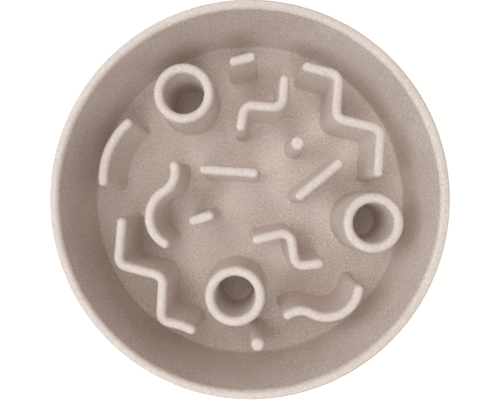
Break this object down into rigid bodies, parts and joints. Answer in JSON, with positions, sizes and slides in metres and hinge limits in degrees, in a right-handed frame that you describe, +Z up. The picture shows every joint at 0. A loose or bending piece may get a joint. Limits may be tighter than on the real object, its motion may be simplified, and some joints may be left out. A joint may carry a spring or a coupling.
{
  "type": "slow feeder bowl",
  "caption": "Round straight-sided pet bowl whose floor carries a maze of rings, zigzags, curved walls, bars and pegs that slows eating; rubber ring under the foot.",
  "frame": {"origin": "on the ground under the middle of the bowl", "axes": "+Z up out of the bowl's mouth; +Y towards the back of the maze, which is the top of the picture; +X to the right"},
  "size_m": [0.1998, 0.1998, 0.0655],
  "materials": {
    "fibre_moulding": "matte warm off-white plant-fibre composite with fine darker flecks",
    "grip_rubber": "matte dark grey rubber"
  },
  "bodies": {
    "root": {"bowl_dish": "fibre_moulding", "maze_ring_left": "fibre_moulding", "maze_ring_right": "fibre_moulding", "maze_ring_front": "fibre_moulding", "maze_zigzag_left": "fibre_moulding", "maze_zigzag_right": "fibre_moulding", "maze_zigzag_back": "fibre_moulding", "maze_zigzag_front": "fibre_moulding", "maze_arc_wall": "fibre_moulding", "maze_s_wall": "fibre_moulding", "maze_wave_wall": "fibre_moulding", "maze_bar_long": "fibre_moulding", "maze_bar_slanted": "fibre_moulding", "maze_bar_short": "fibre_moulding", "maze_bar_back": "fibre_moulding", "maze_peg_back": "fibre_moulding", "maze_peg_front": "fibre_moulding", "anti_slip_ring": "grip_rubber"}
  },
  "joints": []
}
